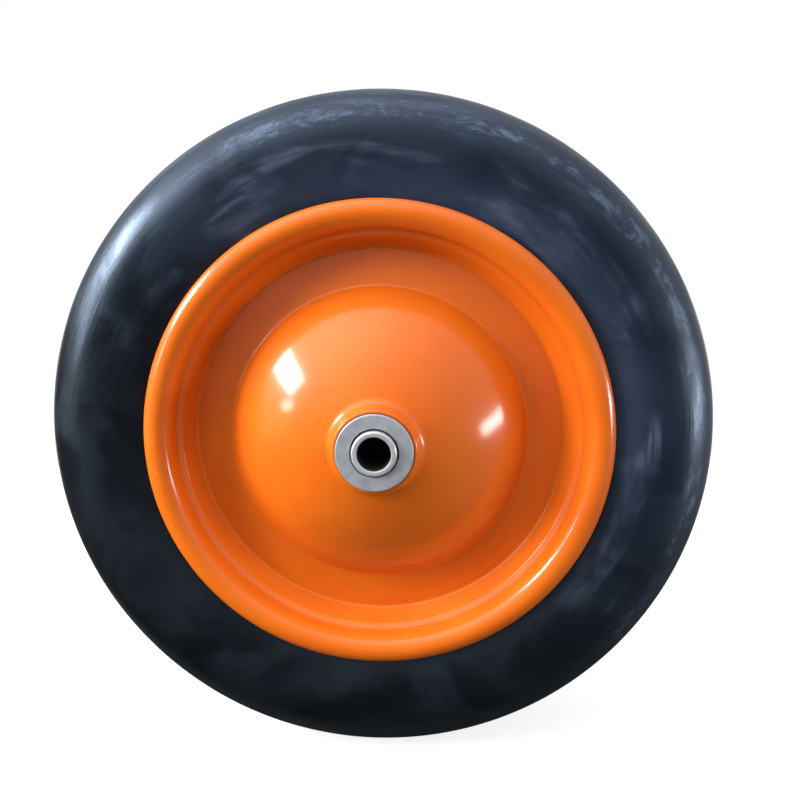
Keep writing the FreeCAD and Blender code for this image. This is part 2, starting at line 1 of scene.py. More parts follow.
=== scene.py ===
"""The looks of a wheelbarrow wheel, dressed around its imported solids.

A smooth solid rubber tyre sits on a rolled steel rim. Two pressed discs, enamelled orange as the
rim is, join it to a hub tube, and a flanged ball bearing fills each end of the tube. The axle's
line lies along Y, and the front of the wheel faces -Y.

A section of the wheel is drawn in millimetres, as the distance from the axle's line and the
distance out along it from the wheel's middle.
"""

import logging
import math
import sys
from collections.abc import Iterable, Mapping, Sequence
from dataclasses import dataclass, replace
from enum import Enum
from functools import reduce
from itertools import pairwise

import bmesh
import bpy
from mathutils import Matrix, Vector


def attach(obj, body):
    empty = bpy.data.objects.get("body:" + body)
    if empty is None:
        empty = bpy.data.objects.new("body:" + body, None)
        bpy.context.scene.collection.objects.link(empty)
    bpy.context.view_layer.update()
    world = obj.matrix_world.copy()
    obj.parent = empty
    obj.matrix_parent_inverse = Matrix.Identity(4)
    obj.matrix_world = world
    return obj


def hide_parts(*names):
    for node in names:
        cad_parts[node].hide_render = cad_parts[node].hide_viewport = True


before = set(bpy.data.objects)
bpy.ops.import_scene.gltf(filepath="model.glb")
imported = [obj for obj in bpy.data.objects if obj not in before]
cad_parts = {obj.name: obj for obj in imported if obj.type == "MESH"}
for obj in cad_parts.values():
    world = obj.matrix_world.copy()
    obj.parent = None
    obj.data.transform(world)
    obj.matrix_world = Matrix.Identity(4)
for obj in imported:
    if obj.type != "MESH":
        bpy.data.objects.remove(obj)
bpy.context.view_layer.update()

MM = 0.001
# Greatest steps of a section line round a bow and along a run, and the inset of its end points.
ARC_STEP = math.radians(5.0)
RUN_STEP = 3.0
SUPPORT = 0.3
SOLVER_STEPS = 12
WELD = 1e-7

Socket = bpy.types.NodeSocket
Material = bpy.types.Material

log = logging.getLogger("barrow_wheel")


class Side(Enum):
    """Which end of the axle a piece is on, as the sign of its place along Y."""

    FRONT = -1
    REAR = 1

    @property
    def label(self) -> str:
        """Returns the word that the names of the pieces on this side start with."""
        return self.name.lower()


def left_of(heading: Vector) -> Vector:
    """Returns the heading turned a quarter to the left."""
    return Vector((-heading.y, heading.x))


def put(name: str, data: bpy.types.ID) -> bpy.types.Object:
    """Returns a new object of the scene that holds the data."""
    piece = bpy.data.objects.new(name, data)
    bpy.context.scene.collection.objects.link(piece)
    return piece


def emptied(owner: Material | bpy.types.World) -> bpy.types.NodeTree:
    """Returns the node tree of a new material or world, with no node left in it."""
    owner.use_nodes = True
    owner.node_tree.nodes.clear()
    return owner.node_tree


@dataclass(frozen=True)
class Straight:
    """Straight run of a section line.

    Attributes:
        start: First point, in millimetres from the axle and along it.
        end: Last point.
    """

    start: Vector
    end: Vector

    def heading(self, _spot: Vector) -> Vector:
        """Returns the direction of travel, which is the same at every spot."""
        return (self.end - self.start).normalized()

    def gap(self, spot: Vector) -> float:
        """Returns how far the spot lies to the left of the line."""
        return self.heading(spot).cross(spot - self.start)

    def foot(self, spot: Vector) -> Vector:
        """Returns the point of the line nearest to the spot."""
        heading = self.heading(spot)
        return self.start + heading * heading.dot(spot - self.start)

    def beside(self, distance: float) -> "Straight":
        """Returns the same run moved to the left by the distance."""
        shift = left_of(self.heading(self.start)) * distance
        return Straight(self.start + shift, self.end + shift)

    def back(self) -> "Straight":
        """Returns the same run travelled the other way."""
        return Straight(self.end, self.start)

    def stations(self, first: Vector, last: Vector) -> list[Vector]:
        """Lists points from first up to last, which itself is left out.

        Args:
            first: Where the run is entered.
            last: Where the run is left.

        Returns:
            The points, with one close to each end to keep the shading of a flat face flat.
        """
        length = (last - first).length
        count = max(1, math.ceil(length / RUN_STEP))
        shares = {step / count for step in range(count)}
        if length > 3 * SUPPORT:
            shares |= {SUPPORT / length, 1 - SUPPORT / length}
        return [first.lerp(last, share) for share in sorted(shares)]


@dataclass(frozen=True)
class Bow:
    """Run of a section line round a centre.

    Attributes:
        centre: Centre of the bow.
        radius: Its radius.
        start: First point.
        end: Last point.
        turn: 1 where it turns left, -1 where it turns right.
    """

    centre: Vector
    radius: float
    start: Vector
    end: Vector
    turn: int

    def heading(self, spot: Vector) -> Vector:
        """Returns the direction of travel beside the spot."""
        return left_of((spot - self.centre).normalized()) * self.turn

    def gap(self, spot: Vector) -> float:
        """Returns how far the spot lies to the left of the bow."""
        return self.turn * (self.radius - (spot - self.centre).length)

    def foot(self, spot: Vector) -> Vector:
        """Returns the point of the bow's circle nearest to the spot."""
        return self.centre + (spot - self.centre).normalized() * self.radius

    def beside(self, distance: float) -> "Bow":
        """Returns the bow moved to the left by the distance, round the same centre."""
        moved = replace(self, radius=self.radius - self.turn * distance)
        return replace(moved, start=moved.foot(self.start), end=moved.foot(self.end))

    def back(self) -> "Bow":
        """Returns the same bow travelled the other way."""
        return Bow(self.centre, self.radius, self.end, self.start, -self.turn)

    def stations(self, first: Vector, last: Vector) -> list[Vector]:
        """Lists points from first up to last, which itself is left out.

        Args:
            first: Where the bow is entered.
            last: Where the bow is left.

        Returns:
            The points, no further apart than the arc step and the run step.
        """
        begin = first - self.centre
        finish = last - self.centre
        begin_angle = math.atan2(begin.y, begin.x)
        sweep = (self.turn * (math.atan2(finish.y, finish.x) - begin_angle)) % math.tau
        count = max(1, math.ceil(sweep / ARC_STEP), math.ceil(sweep * self.radius / RUN_STEP))
        spots = []
        for step in range(count):
            angle = begin_angle + self.turn * sweep * step / count
            spots.append(self.centre + Vector((math.cos(angle), math.sin(angle))) * self.radius)
        return spots


Run = Straight | Bow


def turn_between(before: Run, after: Run) -> int:
    """Returns 1 where the line turns left from one run to the next, and -1 where it turns right."""
    return 1 if before.heading(before.end).cross(after.heading(after.start)) > 0 else -1


def bend_centre(before: Run, after: Run, radius: float) -> Vector:
    """Finds the centre of the bend that joins two runs.

    Args:
        before: The run that leads to the bend.
        after: The run that follows it.
        radius: Radius of the bend, or 0 where the two runs meet at a sharp corner.

    Returns:
        The point that lies as far as the radius from both, on the inner side of the turn.
    """
    reach = turn_between(before, after) * radius
    aim = left_of(before.heading(before.end)) + left_of(after.heading(after.start))
    centre = (before.end + after.start) / 2 + aim.normalized() * reach
    for _ in range(SOLVER_STEPS):
        miss = (before.gap(centre) - reach, after.gap(centre) - reach)
        rows = [left_of(run.heading(run.foot(centre))) for run in (before, after)]
        spread = rows[0].cross(rows[1])
        centre = centre + Vector(
            (
                (miss[1] * rows[0].y - miss[0] * rows[1].y) / spread,
                (miss[0] * rows[1].x - miss[1] * rows[0].x) / spread,
            )
        )
    return centre


@dataclass
class Section:
    """Outline of a turned piece, as runs with a bend between each two.

    Attributes:
        runs: The runs in order round the outline.
        bends: Radius of the bend after each run, None where it passes smoothly into the next.
        mirrored: True where the runs are the outer half of a piece that is the same both ways
            along the axle. They then start and end at its middle, with no bend after the last.
    """

    runs: list[Run]
    bends: Sequence[float | None]
    mirrored: bool = False

    def points(self) -> list[Vector]:
        """Returns the points of the closed outline in order."""
        count = len(self.runs)
        entries: list[Vector] = [run.start for run in self.runs]
        exits: list[Vector] = [run.end for run in self.runs]
        arcs: dict[int, Bow] = {}
        for index, radius in enumerate(self.bends):
            if radius is None:
                continue
            before, after = self.runs[index], self.runs[(index + 1) % count]
            centre = bend_centre(before, after, radius)
            exits[index] = before.foot(centre)
            entries[(index + 1) % count] = after.foot(centre)
            if radius:
                turn = turn_between(before, after)
                arcs[index] = Bow(centre, radius, exits[index], entries[(index + 1) % count], turn)
        spots: list[Vector] = []
        for index, run in enumerate(self.runs):
            spots += run.stations(entries[index], exits[index])
            if index in arcs:
                spots += arcs[index].stations(arcs[index].start, arcs[index].end)
        if self.mirrored:
            spots.append(exits[-1])
            spots += [Vector((spot.x, -spot.y)) for spot in reversed(spots[1:-1])]
        return spots


class Board:
    """Adds nodes to a node tree and joins them up."""

    def __init__(self, tree: bpy.types.NodeTree) -> None:
        """Keeps the tree that the nodes go in."""
        self.tree = tree

    def add(
        self, kind: str, feeds: Mapping[str | int, object] | None = None, **settings: object
    ) -> bpy.types.Node:
        """Adds a node.

        Args:
            kind: The node's type name.
            feeds: What each input gets, by its name or number: another node's output or a value.
            settings: The node's own settings.

        Returns:
            The node.
        """
        node = self.tree.nodes.new(kind)
        for name, value in settings.items():
            setattr(node, name, value)
        for key, value in (feeds or {}).items():
            self.feed(node.inputs[key], value)
        return node

    def feed(self, socket: Socket, value: object) -> None:
        """Joins an output to the input, or writes a value on it."""
        if isinstance(value, Socket):
            self.tree.links.new(value, socket)
        else:
            socket.default_value = value

    def maths(self, operation: str, *terms: object, clamp: bool = False) -> Socket:
        """Returns the result of one arithmetic step on outputs or numbers."""
        feeds = dict(enumerate(terms))
        return self.add("ShaderNodeMath", feeds, operation=operation, use_clamp=clamp).outputs[0]

    def product(self, *terms: object) -> Socket:
        """Returns the product of outputs and numbers."""
        return reduce(lambda left, right: self.maths("MULTIPLY", left, right), terms)

    def between(self, share: object, low: object, high: object) -> Socket:
        """Returns a colour between two, by the share."""
        return self.add("ShaderNodeMix", {0: share, 6: low, 7: high}, data_type="RGBA").outputs[2]

    def range(
        self, value: object, lows: tuple[float, float], highs: tuple[float, float] = (0.0, 1.0)
    ) -> Socket:
        """Returns the value moved from one range to another, eased and held at the ends."""
        names = ("Value", "From Min", "From Max", "To Min", "To Max")
        feeds = dict(zip(names, (value, *lows, *highs), strict=True))
        return self.add("ShaderNodeMapRange", feeds, interpolation_type="SMOOTHSTEP").outputs[0]


class Lathe(Board):
    """Geometry Nodes tree that turns a closed section about the axle's line.

    Attributes:
        STEPS: How many steps a piece is turned in.
        GIRTH: Radius of the circle that carries the section round, in millimetres.
        names: Identifier of each input of the tree, by the name of the input.
    """

    STEPS = 280
    GIRTH = 100.0

    def __init__(self) -> None:
        """Builds the tree."""
        super().__init__(bpy.data.node_groups.new("turned_piece", "GeometryNodeTree"))
        face = self.tree.interface
        face.new_socket("Geometry", in_out="OUTPUT", socket_type="NodeSocketGeometry")
        self.names = {
            name: face.new_socket(name, in_out="INPUT", socket_type=f"NodeSocket{kind}").identifier
            for name, kind in (
                ("Section", "Geometry"),
                ("Turning radius", "Float"),
                ("Steps", "Int"),
                ("Ripple height", "Float"),
                ("Ripples per metre", "Float"),
                ("Seed", "Float"),
                ("Finish", "Material"),
            )
        }
        given = self.add("NodeGroupInput").outputs
        profile = self.add("GeometryNodeMeshToCurve", {"Mesh": given["Section"]})
        path = self.add(
            "GeometryNodeCurvePrimitiveCircle",
            {"Resolution": given["Steps"], "Radius": given["Turning radius"]},
        )
        swept = self.add(
            "GeometryNodeCurveToMesh",
            {"Curve": path.outputs["Curve"], "Profile Curve": profile.outputs["Curve"]},
        )
        laid = self.add(
            "GeometryNodeTransform",
            {"Geometry": swept.outputs["Mesh"], "Rotation": (math.radians(90), 0.0, 0.0)},
        )
        noise = self.add(
            "ShaderNodeTexNoise",
            {
                "Vector": self.add("GeometryNodeInputPosition").outputs[0],
                "W": given["Seed"],
                "Scale": given["Ripples per metre"],
                "Detail": 2.0,
            },
            noise_dimensions="4D",
        )
        centred = self.maths("SUBTRACT", noise.outputs[0], 0.5)
        height = self.maths("MULTIPLY", centred, given["Ripple height"])
        offset = self.add(
            "ShaderNodeVectorMath",
            {0: self.add("GeometryNodeInputNormal").outputs[0], "Scale": height},
            operation="SCALE",
        )
        rippled = self.add(
            "GeometryNodeSetPosition",
            {"Geometry": laid.outputs[0], "Offset": offset.outputs[0]},
        )
        smooth = self.add("GeometryNodeSetShadeSmooth", {"Geometry": rippled.outputs[0]})
        whole = self.add("GeometryNodeRealizeInstances", {"Geometry": smooth.outputs[0]})
        dressed = self.add(
            "GeometryNodeSetMaterial",
            {"Geometry": whole.outputs[0], "Material": given["Finish"]},
        )
        self.add("NodeGroupOutput", {"Geometry": dressed.outputs[0]})

    def turn(
        self,
        name: str,
        section: Section,
        finish: Material,
        side: Side = Side.REAR,
        ripple: tuple[float, float, float] = (0.0, 1.0, 0.0),
    ) -> bpy.types.Object:
        """Turns a section into a piece with the modifier applied.

        Args:
            name: Name of the piece.
            section: Its section. The distance along the axle grows towards the side.
            finish: Its material.
            side: The side that it faces.
            ripple: Height of the unevenness in millimetres, waves per metre, and seed.

        Returns:
            The piece, its place in its mesh and its faces pointing out.
        """
        flat = [
            ((spot.x - self.GIRTH) * MM, spot.y * side.value * MM, 0.0) for spot in section.points()
        ]
        count = len(flat)
        mesh = bpy.data.meshes.new(f"{name}_section")
        mesh.from_pydata(flat, [(index, (index + 1) % count) for index in range(count)], [])
        piece = put(name, mesh)
        modifier = piece.modifiers.new("turned", "NODES")
        modifier.node_group = self.tree
        for label, value in (
            ("Turning radius", self.GIRTH * MM),
            ("Steps", self.STEPS),
            ("Ripple height", ripple[0] * MM),
            ("Ripples per metre", ripple[1]),
            ("Seed", ripple[2]),
            ("Finish", finish),
        ):
            modifier[self.names[label]] = value
        graph = bpy.context.evaluated_depsgraph_get()
        turned = bpy.data.meshes.new_from_object(piece.evaluated_get(graph))
        piece.modifiers.clear()
        piece.data = turned
        turned.name = name
        bpy.data.meshes.remove(mesh)
        shell = bmesh.new()
        shell.from_mesh(turned)
        bmesh.ops.remove_doubles(shell, verts=shell.verts, dist=WELD)
        bmesh.ops.recalc_face_normals(shell, faces=shell.faces)
        shell.to_mesh(turned)
        shell.free()
        log.info("%s: %d faces", name, len(turned.polygons))
        return piece


def grey(level: float) -> tuple[float, float, float, float]:
    """Returns the grey of that level, in linear light."""
    return (level, level, level, 1.0)


def linear(code: str) -> tuple[float, float, float, float]:
    """Turns a six-digit screen colour into the numbers that a shader takes.

    Args:
        code: The colour as red, green and blue in two hexadecimal digits each.

    Returns:
        Red, green, blue and full cover, in linear light.
    """
    parts = [int(code[place : place + 2], 16) / 255 for place in (0, 2, 4)]
    bent = [part / 12.92 if part <= 0.04045 else ((part + 0.055) / 1.055) ** 2.4 for part in parts]
    return (bent[0], bent[1], bent[2], 1.0)


class FinishBoard(Board):
    """Shader nodes of one finish, on Object coordinates.

    Attributes:
        material: The material.
        place: The Object coordinates.
        shader: The surface shader, whose even values are set on its own sockets.
        along: Place along the axle, in metres.
        radius: Distance from the axle's line, in metres.
        round_x: How far the direction from the axle points to the right, from -1 to 1.
        round_z: How far it points up.
    """

    def __init__(self, name: str, **even: object) -> None:
        """Starts a material.

        Args:
            name: Name of the material.
            even: Values of the surface shader that are the same all over, with each space in a
                socket's name written as an underscore.
        """
        self.material = bpy.data.materials.new(name)
        super().__init__(emptied(self.material))
        self.shader = self.add("ShaderNodeBsdfPrincipled")
        for key, value in even.items():
            self.shader.inputs[key.replace("_", " ")].default_value = value
        self.add("ShaderNodeOutputMaterial", {"Surface": self.shader.outputs[0]})
        self.place = self.add("ShaderNodeTexCoord").outputs["Object"]
        apart = self.add("ShaderNodeSeparateXYZ", {0: self.place}).outputs
        self.along = apart["Y"]
        squares = [self.product(apart[name], apart[name]) for name in ("X", "Z")]
        self.radius = self.maths("SQRT", self.maths("ADD", *squares))
        self.round_x = self.maths("DIVIDE", apart["X"], self.radius)
        self.round_z = self.maths("DIVIDE", apart["Z"], self.radius)

    def ring_place(self, around: float, across: float) -> Socket:
        """Makes coordinates in which a pattern runs in rings about the axle without a seam.

        Args:
            around: How fast the pattern changes round the wheel.
            across: How fast it changes with the distance from the axle, per metre.

        Returns:
            The coordinates.
        """
        feeds = {
            "X": self.product(self.round_x, around),
            "Y": self.product(self.round_z, around),
            "Z": self.product(self.maths("ADD", self.radius, self.along), across),
        }
        return self.add("ShaderNodeCombineXYZ", feeds).outputs[0]

    def noise(
        self, scale: float, detail: float = 2.0, place: Socket | None = None, **more: float
    ) -> Socket:
        """Returns soft noise from 0 to 1.

        Args:
            scale: Waves per metre, or per unit of the given coordinates.
            detail: How many finer layers lie on top.
            place: Coordinates to use in place of the Object ones.
            more: Further inputs of the node.
        """
        feeds = {"Vector": place or self.place, "Scale": scale, "Detail": detail, **more}
        return self.add("ShaderNodeTexNoise", feeds).outputs[0]

    def bump(self, height: object, depth: float, under: Socket | None = None) -> Socket:
        """Returns a surface direction roughened by the height.

        Args:
            height: The relief, from 0 to 1.
            depth: Its depth in millimetres.
            under: A roughened direction to build on.
        """
        feeds: dict[str | int, object] = {"Height": height, "Distance": depth * MM, "Strength": 1.0}
        if under is not None:
            feeds["Normal"] = under
        return self.add("ShaderNodeBump", feeds).outputs[0]

    def finish(self, **varied: Socket) -> Material:
        """Joins what varies over the surface to the shader and returns the material."""
        for key, value in varied.items():
            self.feed(self.shader.inputs[key.replace("_", " ")], value)
        return self.material


@dataclass(frozen=True)
class Enamel:
    """Glossy enamel sprayed on pressed steel.

    Attributes:
        colour: Its colour.
        deep: The same where it has run thicker.
        deep_share: The most that the deep colour covers.
        speck: Dust and small chips.
        roughness: Least and greatest roughness of the paint under the gloss.
        coat_roughness: Roughness of its gloss.
        coat_ior: Refractive index of its gloss.
        under_gloss: How strongly the paint under the gloss shines by itself.
        peel_depth: Depth of the waves of its surface, in millimetres.
        grit_depth: Depth of the grit in it, in millimetres.
    """

    colour: str = "ef741a"
    deep: str = "e46415"
    deep_share: float = 0.55
    speck: str = "f0c9a4"
    roughness: tuple[float, float] = (0.28, 0.4)
    coat_roughness: float = 0.15
    coat_ior: float = 1.45
    under_gloss: float = 0.12
    peel_depth: float = 0.0035
    grit_depth: float = 0.003

    def material(self) -> Material:
        """Returns the finish as a material."""
        board = FinishBoard(
            "orange_enamel",
            Coat_Weight=1.0,
            Coat_Roughness=self.coat_roughness,
            Coat_IOR=self.coat_ior,
            Specular_IOR_Level=self.under_gloss,
        )
        thick = board.range(board.noise(22.0, 3.0), (0.35, 0.7), (0.0, self.deep_share))
        flow = board.between(thick, linear(self.colour), linear(self.deep))
        grit = board.noise(2600.0)
        patch = board.noise(40.0)
        specks = board.product(board.range(grit, (0.73, 0.78)), board.range(patch, (0.5, 0.62)))
        colour = board.between(specks, flow, linear(self.speck))
        peel = board.bump(board.noise(700.0, 1.0), self.peel_depth)
        ridged = board.bump(grit, self.grit_depth, peel)
        rough = board.range(board.noise(160.0, 3.0), (0.3, 0.7), self.roughness)
        return board.finish(Base_Color=colour, Roughness=rough, Normal=ridged, Coat_Normal=peel)


@dataclass(frozen=True)
class Rubber:
    """Black moulded rubber with handling marks in rings, and painted light: lighter, bluer rubber
    and painted sheen towards the top and the right.

    Attributes:
        colour: The clean rubber.
        painted_lit_side: Painted light: the lighter, bluer rubber of the side where the light
            falls, towards the top.
        lean: How far that side leans to the right.
        gloss: How strongly it shines.
        gloss_tint: Colour of its shine.
        dust_and_sheen: Painted sheen near the rim on the lit side, partly dusty.
        dust_and_sheen_radii: Where it is thickest and where it ends, in millimetres.
        dust_and_sheen_share: The most that it covers.
        scuff: Ragged scuffs round the shoulder, partly painted sheen, shown only on the lit side.
        scuffed_radii: Where the scuffs begin, are thickest and end, in millimetres.
        scuff_fade: How far they thin out towards both ends.
        scuff_share: The most that the scuffs cover.
        bloom_and_sheen: Grey rubbed marks, laid only on the lit side as painted sheen.
        bloom_and_sheen_reach: How far they cover the clean colour.
        roughness: Least and greatest roughness of the clean rubber.
        bloom_roughness: How much rougher the rubber is under those marks.
        grain_depth: Depth of its grain, in millimetres.
        ring_depth: Depth of the fine rings round it, in millimetres.
    """

    colour: str = "060709"
    painted_lit_side: str = "131a29"
    lean: float = 0.6
    gloss: float = 0.75
    gloss_tint: tuple[float, float, float, float] = (0.55, 0.74, 1.0, 1.0)
    dust_and_sheen: str = "343f56"
    dust_and_sheen_radii: tuple[float, float] = (122.0, 146.0)
    dust_and_sheen_share: float = 0.8
    scuff: str = "66758f"
    scuffed_radii: tuple[float, float, float] = (148.0, 161.0, 172.0)
    scuff_fade: float = 0.22
    scuff_share: float = 0.75
    bloom_and_sheen: str = "56617a"
    bloom_and_sheen_reach: float = 0.9
    roughness: tuple[float, float] = (0.31, 0.52)
    bloom_roughness: float = 0.18
    grain_depth: float = 0.02
    ring_depth: float = 0.1

    def dust_and_sheen_cover(self, board: FinishBoard, lit_slant: Socket) -> Socket:
        """Returns how far the painted sheen near the rim, partly dusty, covers the rubber on the
        lit side.

        Args:
            board: The finish.
            lit_slant: How far a place lies towards the side where the light falls.
        """
        near, far = (radius * MM for radius in self.dust_and_sheen_radii)
        inner = board.range(board.radius, (far, near), (0.0, self.dust_and_sheen_share))
        return board.product(inner, board.range(lit_slant, (0.0, 0.8)))

    def scuffing(self, board: FinishBoard, lit_side: Socket) -> Socket:
        """Returns how far the scuffs round the shoulder cover the rubber.

        Args:
            board: The finish.
            lit_side: How far a place belongs to the side where the light falls, from 0 to 1.
        """
        place = board.ring_place(9.0, 90.0)
        ragged = board.noise(1.0, 9.0, place, Distortion=0.4, Roughness=0.76)
        low, middle, high = (radius * MM for radius in self.scuffed_radii)
        rise = board.range(board.radius, (low, middle))
        ring = board.product(rise, board.range(board.radius, (middle, high), (1.0, 0.0)))
        loss = board.product(board.maths("SUBTRACT", ring, 1.0), self.scuff_fade)
        edge = board.maths("ADD", ragged, loss)
        # Painted sheen: the scuffs are worn marks kept to the lit side.
        return board.product(board.range(edge, (0.46, 0.64), (0.0, self.scuff_share)), lit_side)

    def material(self) -> Material:
        """Returns the finish as a material."""
        board = FinishBoard(
            "black_rubber", Specular_IOR_Level=self.gloss, Specular_Tint=self.gloss_tint
        )
        # Painted light: the side towards the top and the right, where the light falls, gets
        # lighter, bluer rubber, and the painted sheen below is kept to it.
        lit_slant = board.maths("ADD", board.round_z, board.product(board.round_x, self.lean))
        lit_side = board.range(lit_slant, (-0.5, 0.7), (0.03, 1.0))
        wide = board.noise(1.0, 3.0, board.ring_place(2.2, 70.0), Distortion=0.5)
        fine = board.noise(1.0, 4.0, board.ring_place(7.0, 420.0), Distortion=0.3)
        smear = board.noise(24.0, 5.0, Distortion=0.8)
        # Painted sheen: the rubbed marks are laid only on the lit side.
        cover = board.product(
            board.range(wide, (0.46, 0.66)),
            board.range(smear, (0.35, 0.68), (0.15, 1.0)),
            board.range(fine, (0.3, 0.7), (0.2, 1.0)),
            lit_side,
            self.bloom_and_sheen_reach,
        )
        # Painted light: the lit side is made lighter and bluer.
        colour = board.between(lit_side, linear(self.colour), linear(self.painted_lit_side))
        # Painted sheen near the rim on the lit side, partly dusty.
        colour = board.between(self.dust_and_sheen_cover(board, lit_slant), colour, linear(self.dust_and_sheen))
        colour = board.between(cover, colour, linear(self.bloom_and_sheen))
        colour = board.between(self.scuffing(board, lit_side), colour, linear(self.scuff))
        grain = board.bump(board.noise(900.0, 3.0), self.grain_depth)
        rings = board.bump(fine, self.ring_depth, grain)
        clean = board.range(smear, (0.35, 0.65), self.roughness)
        rough = board.maths("ADD", clean, board.product(cover, self.bloom_roughness))
        return board.finish(Base_Color=colour, Roughness=rough, Normal=rings)


@dataclass(frozen=True)
class TurnedSteel:
    """Steel with the fine lines of the lathe on it, and painted shade in its bore.

    Attributes:
        name: Name of the material.
        colour: The clean metal.
        dull: The metal under grime.
        roughness: Its least and greatest roughness.
        metal: How much of it is metal, from 0 to 1.
        bore: Radius inside which it is painted black as shade, partly greasy, in millimetres.
        grease_and_shade: Colour of that painted shade.
        grease_and_shade_edge: How far past the bore the painted shade begins to end and ends, in
            millimetres.
        line_depth: Depth of the lines, in millimetres.
    """

    name: str
    colour: str
    dull: str
    roughness: tuple[float, float]
    metal: float = 1.0
    bore: float = 0.0
    grease_and_shade: str = "060506"
    grease_and_shade_edge: tuple[float, float] = (0.1, 0.5)
    line_depth: float = 0.006

    def material(self) -> Material:
        """Returns the finish as a material."""
        board = FinishBoard(self.name)
        lines = board.noise(1.0, 3.0, board.ring_place(1.5, 5200.0))
        cloud = board.noise(170.0, 4.0)
        grime = board.range(cloud, (0.38, 0.7), (0.0, 0.7))
        colour = board.between(grime, linear(self.colour), linear(self.dull))
        # Painted shade: inside the bore the steel is made black, rough and not metallic, partly as
        # grease.
        begin, end = ((self.bore + past) * MM for past in self.grease_and_shade_edge)
        clean = board.range(board.radius, (begin, end))
        colour = board.between(clean, linear(self.grease_and_shade), colour)
        lined = board.bump(lines, self.line_depth)
        worn = board.maths("ADD", board.product(cloud, 0.5), board.product(lines, 0.5))
        rough = board.range(worn, (0.3, 0.7), self.roughness)
        rough = board.maths("ADD", rough, board.maths("SUBTRACT", 1.0, clean), clamp=True)
        metal = board.product(clean, self.metal)
        return board.finish(Base_Color=colour, Roughness=rough, Normal=lined, Metallic=metal)


@dataclass
class Rim:
    """Rolled steel rim: a seat, two flares, and edges rolled over against the tyre.

    Attributes:
        seat_radius: Outer face of the flat seat.
        sheet: Thickness of the steel.
        flare_start: Half the width of the seat.
        flare_height: How far a flare rises from the seat.
        flare_width: How far it reaches along the axle.
        wall_height: Short wall between flare and rolled edge.
        roll_radius: Outer radius of the rolled edge.
        roll_end: How far past its crest the edge is rolled, in degrees.
        bend: Inner radius of the bends.
        edge_round: Rounding of the cut edge.
        ripple: Its unevenness, as the lathe takes it.
    """

    seat_radius: float = 100.5
    sheet: float = 2.0
    flare_start: float = 14.0
    flare_height: float = 7.6
    flare_width: float = 17.07
    wall_height: float = 2.2
    roll_radius: float = 7.5
    roll_end: float = 57.0
    bend: float = 4.0
    edge_round: float = 0.4
    ripple: tuple[float, float, float] = (0.1, 26.0, 3.0)

    @property
    def face_radius(self) -> float:
        """Returns the inner face of the seat."""
        return self.seat_radius - self.sheet

    @property
    def wall_radius(self) -> float:
        """Returns the inner face of the wall."""
        return self.face_radius + self.flare_height

    @property
    def flare_end(self) -> float:
        """Returns where the flare passes into the wall, along the axle."""
        return self.flare_start + self.flare_width

    @property
    def roll_centre(self) -> Vector:
        """Returns the centre of the rolled edge."""
        return Vector((self.wall_radius + self.roll_radius, self.flare_end + self.wall_height))

    def flare(self) -> Straight:
        """Returns the inner face of the flare, from the seat outwards."""
        return Straight(
            Vector((self.face_radius, self.flare_start)), Vector((self.wall_radius, self.flare_end))
        )

    def face(self) -> list[Run]:
        """Returns the runs of the inner face, from the middle of the seat to the cut edge."""
        flare = self.flare()
        centre = self.roll_centre
        wall = Straight(flare.end, Vector((self.wall_radius, centre.y)))
        angle = math.radians(90.0 - self.roll_end)
        last = centre + Vector((math.cos(angle), math.sin(angle))) * self.roll_radius
        seat = Straight(Vector((self.face_radius, 0.0)), flare.start)
        return [seat, flare, wall, Bow(centre, self.roll_radius, wall.end, last, -1)]

    def section(self) -> Section:
        """Returns the section of the rim."""
        face = self.face()
        outer = [run.beside(-self.sheet).back() for run in reversed(face)]
        edge = Straight(face[-1].end, outer[0].start)
        wide = self.bend + self.sheet
        bends = [wide, self.bend, None, self.edge_round, self.edge_round, None, wide, self.bend]
        return Section([*face, edge, *outer], bends, mirrored=True)

    def build(self, lathe: Lathe, finish: Material) -> None:
        """Turns the rim and puts it on the wheel.

        Args:
            lathe: The tree that turns it.
            finish: Its material.
        """
        piece = lathe.turn("rolled_rim", self.section(), finish, ripple=self.ripple)
        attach(piece, "wheel")
        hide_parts("rim")


